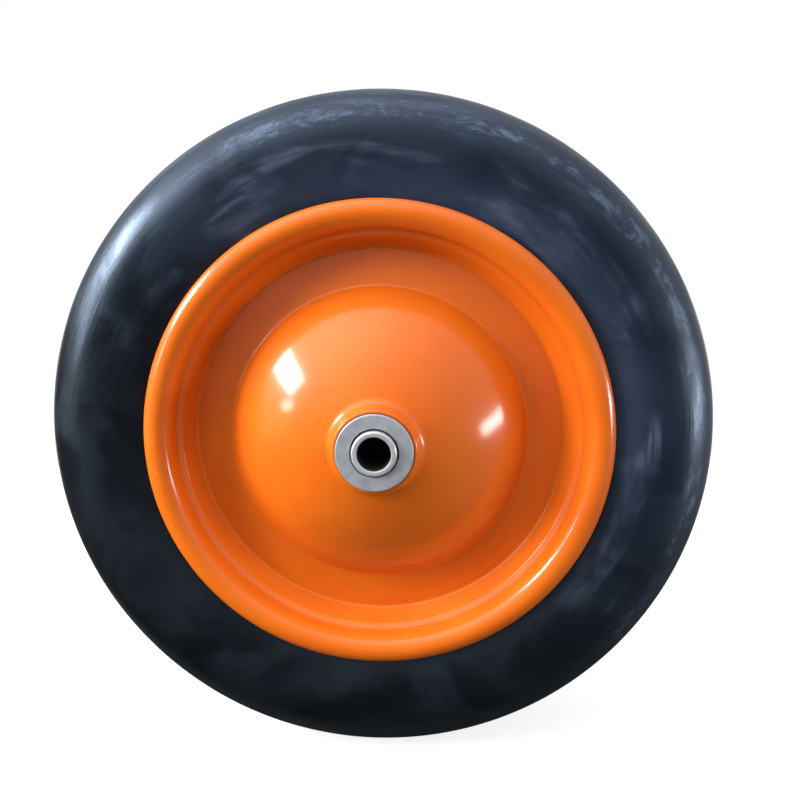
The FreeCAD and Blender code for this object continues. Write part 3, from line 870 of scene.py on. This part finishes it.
@dataclass
class Tyre:
    """Solid rubber tyre with smooth round sidewalls.

    Attributes:
        rim: The rim that it sits on.
        radius: Its radius.
        half_width: Half its width.
        crown_bend: Radius of the crown across the tread.
        widest: Radius at which it is widest.
        foot_gap: How far past the end of the rim's flare its foot reaches.
        heel: Where its sidewall starts, under the rolled edge.
        side_bend: Radius of the sidewall from the heel to the widest place.
        groove_pitch: Distance between the grooves of the tread.
        groove_width: Width of a groove at its mouth, which is twice that of its floor.
        groove_depth: Its depth.
        bends: Radius of the bend after each run of its outline, from the seat to the tread.
        ripple: Its unevenness, as the lathe takes it.
    """

    rim: Rim
    radius: float = 175.8
    half_width: float = 40.0
    crown_bend: float = 100.0
    widest: float = 148.73
    foot_gap: float = 0.3
    heel: tuple[float, float] = (118.21, 33.27)
    side_bend: float = 72.57
    groove_pitch: float = 13.0
    groove_width: float = 4.0
    groove_depth: float = 3.0
    bends: Sequence[float | None] = (4.6, 1.0, 1.5, None, None, 0.6, 0.5, 0.5, 0.6, 0.6, 0.5)
    ripple: tuple[float, float, float] = (0.3, 18.0, 11.0)

    def crown_at(self, along: float, drop: float = 0.0) -> Vector:
        """Returns the point of the crown at that place along the axle, sunk by the drop."""
        centre = self.radius - self.crown_bend
        return Vector((centre + math.sqrt(self.crown_bend**2 - along**2) - drop, along))

    def crown(self, first: Vector, last: Vector) -> Bow:
        """Returns the run of the crown between two of its points."""
        return Bow(Vector((self.radius - self.crown_bend, 0.0)), self.crown_bend, first, last, -1)

    def shoulder_bend(self) -> float:
        """Returns the radius that passes smoothly from the widest place into the crown."""
        rise = self.widest - (self.radius - self.crown_bend)
        width = self.half_width
        return (self.crown_bend**2 - rise**2 - width**2) / (2 * (self.crown_bend - width))

    def section(self) -> Section:
        """Returns the section of the tyre."""
        flare = self.rim.flare().beside(-self.rim.sheet)
        seat = Straight(Vector((self.rim.seat_radius, 0.0)), flare.start)
        foot_radius = self.rim.wall_radius + self.rim.sheet
        foot = Vector((foot_radius, self.rim.flare_end + self.foot_gap))
        heel = Straight(foot, Vector(self.heel))
        side_centre = Vector((self.widest, self.half_width - self.side_bend))
        brim = Vector((self.widest, self.half_width))
        side = Bow(side_centre, self.side_bend, heel.end, brim, -1)
        bend = self.shoulder_bend()
        shoulder_centre = Vector((self.widest, self.half_width - bend))
        crown_centre = Vector((self.radius - self.crown_bend, 0.0))
        meet = crown_centre + (shoulder_centre - crown_centre).normalized() * self.crown_bend
        shoulder = Bow(shoulder_centre, bend, brim, meet, -1)
        mouth, floor = self.groove_width / 2, self.groove_width / 4
        far = self.groove_pitch
        cut = [
            self.crown_at(far + mouth),
            self.crown_at(far + floor, self.groove_depth),
            self.crown_at(far - floor, self.groove_depth),
            self.crown_at(far - mouth),
        ]
        near = [self.crown_at(mouth), self.crown_at(floor, self.groove_depth)]
        middle = Vector((near[1].x, 0.0))
        runs = [seat, flare, heel, side, shoulder, self.crown(meet, cut[0])]
        runs += [Straight(*pair) for pair in pairwise(cut)]
        runs += [self.crown(cut[3], near[0]), Straight(*near), Straight(near[1], middle)]
        return Section(runs, self.bends, mirrored=True)

    def build(self, lathe: Lathe, finish: Material) -> None:
        """Turns the tyre and puts it on the wheel.

        Args:
            lathe: The tree that turns it.
            finish: Its material.
        """
        piece = lathe.turn("rubber_tyre", self.section(), finish, ripple=self.ripple)
        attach(piece, "wheel")
        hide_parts("tyre")


@dataclass
class PressedDisc:
    """Pressed centre of one side: flange, sloping web, dome and neck in one sheet.

    Attributes:
        rim: The rim whose flare its flange lies on.
        side: The side that it faces.
        sheet: Thickness of the steel.
        edge_drop: How far its edge stays back from the end of the flare.
        web_foot: Back of the web where it meets the flange, along the axle.
        web_inner: Back of the web where it meets the dome.
        dome_centre: Centre of the dome, along the axle.
        dome_radius: Outer radius of the dome.
        neck_radius: Outer radius of the neck.
        neck_end: Mouth of the neck, along the axle.
        bends: Radii of its bends on the outer face: crease, foot of the dome, foot of the neck.
        mouth_round: Rounding of the neck's mouth.
        edge_round: Rounding of its other cut edges.
        ledge_round: Rounding of its outer edge.
        ledge_slope: How far the enamel has run out to either side of that edge.
        ripple: Its unevenness: height in millimetres, and waves per metre.
        seed: Seed of that unevenness, which the side is added to.
    """

    rim: Rim
    side: Side
    sheet: float = 1.8
    edge_drop: float = 2.6
    web_foot: float = 15.4
    web_inner: tuple[float, float] = (76.8, 19.0)
    dome_centre: float = -46.895
    dome_radius: float = 102.996
    neck_radius: float = 20.8
    neck_end: float = 63.0
    bends: tuple[float, float, float] = (2.4, 4.0, 6.0)
    mouth_round: float = 1.3
    edge_round: float = 0.25
    ledge_round: float = 1.6
    ledge_slope: float = 1.4
    ripple: tuple[float, float] = (0.16, 24.0)
    seed: float = 5.0

    def section(self) -> Section:
        """Returns the section of the disc."""
        flare = self.rim.flare()
        low_edge, high_edge = (
            flare.start.lerp(flare.end, 1 - (self.edge_drop + slope) / self.rim.flare_width)
            for slope in (self.ledge_slope, -self.ledge_slope)
        )
        flange = Straight(low_edge, flare.start).beside(-self.sheet)
        foot = Vector((self.rim.face_radius, self.web_foot))
        web = Straight(foot, Vector(self.web_inner)).beside(-self.sheet)
        centre = Vector((0.0, self.dome_centre))
        low = math.sqrt(self.dome_radius**2 - self.web_inner[0] ** 2)
        high = math.sqrt(self.dome_radius**2 - self.neck_radius**2)
        base = centre + Vector((self.web_inner[0], low))
        top = centre + Vector((self.neck_radius, high))
        dome = Bow(centre, self.dome_radius, base, top, 1)
        neck = Straight(top, Vector((self.neck_radius, self.neck_end)))
        face: list[Run] = [flange, web, dome, neck]
        back = [run.beside(self.sheet).back() for run in reversed(face)]
        mouth = Straight(neck.end, back[0].start)
        back[-1] = Straight(back[-1].start, high_edge)
        rear_edge = Straight(high_edge, flange.start)
        wide = [bend + self.sheet for bend in reversed(self.bends)]
        bends = [*self.bends, self.mouth_round, self.edge_round, *wide, 0.0, self.ledge_round]
        return Section([*face, mouth, *back, rear_edge], bends)

    def build(self, lathe: Lathe, finish: Material) -> None:
        """Turns the disc and puts it on the wheel.

        Args:
            lathe: The tree that turns it.
            finish: Its material.
        """
        label = self.side.label
        ripple = (*self.ripple, self.seed + self.side.value)
        piece = lathe.turn(f"{label}_pressing", self.section(), finish, self.side, ripple)
        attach(piece, "wheel")
        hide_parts(f"{label}_disc")


@dataclass
class Bearing:
    """Flanged ball bearing at one end of the hub tube.

    Attributes:
        side: The side that it faces.
        bore: Radius of the hole for the axle.
        sleeve_radius: Outer radius of the inner race, which runs out as a sleeve.
        sleeve_start: Inner end of the race, along the axle.
        sleeve_end: Outer end of the sleeve.
        ball_circle: Radius of the circle that the balls' centres lie on.
        ball_plane: Their place along the axle.
        groove_radius: Radius of the groove that they run in.
        flange_hole: Radius of the hole in the flange ring.
        flange_radius: Its outer radius.
        flange_span: Its two faces, along the axle.
        sleeve_bends: Radius of the bend after each run of the sleeve's outline.
        ring_bends: The same for the flange ring.
        balls: How many balls it holds.
    """

    side: Side
    bore: float = 7.94
    sleeve_radius: float = 10.9
    sleeve_start: float = 51.9
    sleeve_end: float = 67.0
    ball_circle: float = 12.7
    ball_plane: float = 57.45
    groove_radius: float = 3.225
    flange_hole: float = 11.8
    flange_radius: float = 18.75
    flange_span: tuple[float, float] = (63.0, 65.0)
    sleeve_bends: Sequence[float] = (0.3, 0.3, 0.1, 0.1, 1.1, 0.9)
    ring_bends: Sequence[float] = (0.2, 0.7, 0.5, 0.2)
    balls: int = 12

    def sleeve(self) -> Section:
        """Returns the section of the inner race with its sleeve and ball groove."""
        depth = self.ball_circle - self.sleeve_radius
        half = math.sqrt(self.groove_radius**2 - depth**2)
        ends = (self.sleeve_start, self.sleeve_end)
        inner = [Vector((self.bore, place)) for place in reversed(ends)]
        groove = (self.ball_plane - half, self.ball_plane + half)
        outer = [Vector((self.sleeve_radius, place)) for place in (ends[0], *groove, ends[1])]
        centre = Vector((self.ball_circle, self.ball_plane))
        runs: list[Run] = [
            Straight(*inner),
            Straight(inner[1], outer[0]),
            Straight(outer[0], outer[1]),
            Bow(centre, self.groove_radius, outer[1], outer[2], -1),
            Straight(outer[2], outer[3]),
            Straight(outer[3], inner[0]),
        ]
        return Section(runs, self.sleeve_bends)

    def flange(self) -> Section:
        """Returns the section of the flange ring."""
        back, face = self.flange_span
        corners = [
            Vector((self.flange_hole, back)),
            Vector((self.flange_radius, back)),
            Vector((self.flange_radius, face)),
            Vector((self.flange_hole, face)),
        ]
        pairs = zip(corners, [*corners[1:], corners[0]], strict=True)
        return Section([Straight(*pair) for pair in pairs], self.ring_bends)

    def build(self, lathe: Lathe, race: Material, plate: Material) -> None:
        """Turns the sleeve and the flange ring and puts them in place.

        Args:
            lathe: The tree that turns them.
            race: The finish of the races.
            plate: The finish of the flange ring.
        """
        label = self.side.label
        sleeve = lathe.turn(f"{label}_race_sleeve", self.sleeve(), race, self.side)
        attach(sleeve, "axle_core")
        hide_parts(f"{label}_inner_race")
        ring = lathe.turn(f"{label}_flange_ring", self.flange(), plate, self.side)
        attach(ring, "wheel")
        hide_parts(f"{label}_bearing_flange")

    def dress(self, race: Material, ball: Material) -> None:
        """Gives the outer race and the balls their finishes.

        Args:
            race: The finish of the races.
            ball: The finish of the balls.
        """
        label = self.side.label
        dress([f"{label}_outer_race"], race)
        dress([f"{label}_ball_{number}" for number in range(1, self.balls + 1)], ball)


def dress(nodes: Iterable[str], finish: Material) -> None:
    """Gives solids that are shown as they are a finish.

    Args:
        nodes: Names of the solids.
        finish: Their material.
    """
    for name in nodes:
        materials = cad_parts[name].data.materials
        materials.clear()
        materials.append(finish)
        log.info("%s: %s", name, finish.name)


@dataclass(frozen=True)
class Window:
    """Rectangular light.

    Attributes:
        name: Its name.
        place: Where it stands, in metres.
        size: Its width and height in metres.
        power: Its power in watts.
        width_way: The direction that its width runs in.
        colour: Its colour.
        mirrored: Whether glossy surfaces mirror it.
    """

    name: str
    place: tuple[float, float, float]
    size: tuple[float, float]
    power: float
    width_way: tuple[float, float, float]
    colour: tuple[float, float, float] = (1.0, 1.0, 1.0)
    mirrored: bool = True

    def build(self) -> None:
        """Sets up the light, aimed at the wheel's centre."""
        lamp = bpy.data.lights.new(self.name, "AREA")
        lamp.shape = "RECTANGLE"
        lamp.size, lamp.size_y = self.size
        lamp.energy = self.power
        lamp.color = self.colour
        holder = put(self.name, lamp)
        holder.visible_glossy = self.mirrored
        back = Vector(self.place).normalized()
        width = Vector(self.width_way)
        width = (width - back * back.dot(width)).normalized()
        turned = Matrix((width, back.cross(width), back)).transposed()
        holder.matrix_world = Matrix.Translation(self.place) @ turned.to_4x4()


@dataclass(frozen=True)
class Glow:
    """Soft bright part of the room.

    Attributes:
        way: The direction that it lies in.
        level: How bright it is at its middle.
        focus: How fast it fades away from there.
    """

    way: tuple[float, float, float]
    level: float
    focus: float


@dataclass(frozen=True)
class Studio:
    """Floor, background, lights and camera.

    Attributes:
        floor_height: Height of the floor in millimetres.
        floor_radius: Radius of the round floor in metres.
        floor_front: How far it reaches before the wheel's middle, in metres.
        floor_sides: How many sides its outline has.
        paper_tones: Least and greatest brightness of its paper.
        paper_mirrored: Brightness of the paper where glossy surfaces mirror it beside the wheel.
        paper_lift: Brightness and light of the paper where it is seen as the background.
        floor_depths: How far back mirrored rays begin to see that and see it fully, on the floor.
        room_depths: The same for the room, as the part of their direction that runs back.
        room_level: How bright the room is round the wheel.
        glows: Its brighter parts.
        windows: The lights.
        camera_place: Where the camera stands, in millimetres.
        camera_tilt: Its tilt and its turn, in degrees.
        lens: Its focal length in millimetres.
        sensor: Width of its sensor in millimetres.
    """

    floor_height: float = -175.8
    floor_radius: float = 0.5
    floor_front: float = 0.05
    floor_sides: int = 96
    paper_tones: tuple[float, float] = (0.44, 0.47)
    paper_mirrored: float = 0.08
    paper_lift: tuple[float, float] = (0.34, 0.82)
    floor_depths: tuple[float, float] = (0.2, 0.5)
    room_depths: tuple[float, float] = (0.5, 0.85)
    room_level: float = 0.045
    glows: Sequence[Glow] = (
        Glow((-0.5, -0.3, 0.8), 2.4, 4.0),
        Glow((0.45, -0.1, 0.9), 0.55, 1.5),
        Glow((1.0, -0.05, 0.3), 0.36, 1.5),
    )
    windows: Sequence[Window] = (
        Window(
            "key_window",
            (-0.987, -0.375, 0.493),
            (0.52, 0.26),
            14.0,
            (0.06, -0.42, -0.18),
            (1.0, 0.98, 0.97),
        ),
        Window("low_pane", (-1.011, -0.546, 0.174), (0.15, 0.11), 1.0, (0.089, -0.143, 0.061)),
        Window("side_window", (1.118, -0.333, -0.02), (0.42, 0.14), 4.2, (0.12, 0.39, 0.18)),
        Window("left_panel", (-1.06, -0.27, 0.0), (0.5, 0.5), 5.0, (0.0, 0.0, 1.0), mirrored=False),
    )
    camera_place: tuple[float, float, float] = (23.24, -409.4, 81.81)
    camera_tilt: tuple[float, float] = (80.75, 1.83)
    lens: float = 33.82
    sensor: float = 36.0

    def floor(self) -> None:
        """Lays the floor."""
        shell = bmesh.new()
        bmesh.ops.create_circle(
            shell, cap_ends=True, segments=self.floor_sides, radius=self.floor_radius
        )
        middle = (0.0, self.floor_radius - self.floor_front, self.floor_height * MM)
        bmesh.ops.translate(shell, verts=shell.verts, vec=middle)
        mesh = bpy.data.meshes.new("floor")
        shell.to_mesh(mesh)
        shell.free()
        piece = put("floor", mesh)
        mesh.materials.append(self.paper())

    def shown(self, board: Board, depth: Socket, span: tuple[float, float]) -> Socket:
        """Finds which rays see the background: straight ones, and mirrored ones behind the wheel.

        Args:
            board: The tree to add the nodes to.
            depth: How far back a ray goes or lands.
            span: The depths between which the background comes in for mirrored rays.

        Returns:
            1 where the ray sees it.
        """
        path = board.add("ShaderNodeLightPath").outputs
        mirrored = board.maths("MAXIMUM", path["Is Glossy Ray"], path["Is Transmission Ray"])
        behind = board.product(mirrored, board.range(depth, span))
        return board.maths("MAXIMUM", path["Is Camera Ray"], behind)

    def paper(self) -> Material:
        """Returns the floor's paper, which keeps its shadows where it is lifted to white."""
        material = bpy.data.materials.new("white_paper")
        board = Board(emptied(material))
        fibre = board.add("ShaderNodeTexNoise", {"Scale": 60.0, "Detail": 3.0}).outputs[0]
        tone = board.between(fibre, *(grey(level) for level in self.paper_tones))
        mirrored = board.add("ShaderNodeLightPath").outputs["Is Glossy Ray"]
        dimmed = board.between(mirrored, tone, grey(self.paper_mirrored))
        plain = board.add("ShaderNodeBsdfDiffuse", {"Color": dimmed})
        level, light = self.paper_lift
        shaded = board.add("ShaderNodeBsdfDiffuse", {"Color": grey(level)})
        lit = board.add("ShaderNodeEmission", {"Color": grey(1.0), "Strength": light})
        lifted = board.add("ShaderNodeAddShader", {0: shaded.outputs[0], 1: lit.outputs[0]})
        place = board.add("ShaderNodeTexCoord").outputs["Object"]
        depth = board.add("ShaderNodeSeparateXYZ", {0: place}).outputs["Y"]
        seen = self.shown(board, depth, self.floor_depths)
        mixed = board.add(
            "ShaderNodeMixShader", {0: seen, 1: plain.outputs[0], 2: lifted.outputs[0]}
        )
        board.add("ShaderNodeOutputMaterial", {"Surface": mixed.outputs[0]})
        return material

    def background(self) -> None:
        """Sets the white background and the plain level of the room."""
        world = bpy.data.worlds.new("room")
        bpy.context.scene.world = world
        board = Board(emptied(world))
        way = board.add("ShaderNodeTexCoord").outputs["Generated"]
        depth = board.add("ShaderNodeSeparateXYZ", {0: way}).outputs["Y"]
        white = self.shown(board, depth, self.room_depths)
        room: float | Socket = self.room_level
        for glow in self.glows:
            feeds = {0: way, 1: Vector(glow.way).normalized()}
            facing = board.add("ShaderNodeVectorMath", feeds, operation="DOT_PRODUCT")
            near = board.maths("MAXIMUM", facing.outputs["Value"], 0.0)
            lit = board.product(board.maths("POWER", near, glow.focus), glow.level)
            room = board.maths("ADD", room, lit)
        level = board.add("ShaderNodeMix", {0: white, 2: room, 3: 1.0}, data_type="FLOAT")
        feeds = {"Color": grey(1.0), "Strength": level.outputs[0]}
        shade = board.add("ShaderNodeBackground", feeds)
        board.add("ShaderNodeOutputWorld", {"Surface": shade.outputs[0]})

    def camera(self) -> None:
        """Sets up the camera at the photograph's viewpoint."""
        lens = bpy.data.cameras.new("camera")
        lens.sensor_width = self.sensor
        lens.lens = self.lens
        holder = put("camera", lens)
        holder.location = Vector(self.camera_place) * MM
        tilt, swing = (math.radians(angle) for angle in self.camera_tilt)
        holder.rotation_euler = (tilt, 0.0, swing)
        bpy.context.scene.camera = holder

    def build(self) -> None:
        """Sets up everything round the wheel."""
        bpy.context.scene.view_settings.view_transform = "Standard"
        self.floor()
        self.background()
        for window in self.windows:
            window.build()
        self.camera()
        log.info("studio: %d lights", len(self.windows))


def main() -> None:
    """Builds and dresses the wheel, piece by piece."""
    logging.basicConfig(level=logging.INFO, format="%(name)s: %(message)s", stream=sys.stdout)
    lathe = Lathe()
    enamel = Enamel().material()
    rubber = Rubber().material()
    race = TurnedSteel(
        "race_steel", "dcdde2", "c0c1c8", (0.28, 0.4), metal=0.45, bore=7.94
    ).material()
    plate = TurnedSteel("zinc_plate", "bcbfc9", "a2a4ad", (0.4, 0.5), metal=0.35).material()
    tube = TurnedSteel("tube_steel", "5a5a5e", "2c2a28", (0.4, 0.6), bore=9.94).material()
    ball = TurnedSteel("ball_steel", "c9cace", "a0a0a4", (0.08, 0.16)).material()
    rim = Rim()
    rim.build(lathe, enamel)
    Tyre(rim).build(lathe, rubber)
    for side in Side:
        PressedDisc(rim, side).build(lathe, enamel)
        bearing = Bearing(side)
        bearing.build(lathe, race, plate)
        bearing.dress(race, ball)
    dress(["hub_tube", "spacer_tube"], tube)
    Studio().build()


if __name__ == "__main__":
    main()
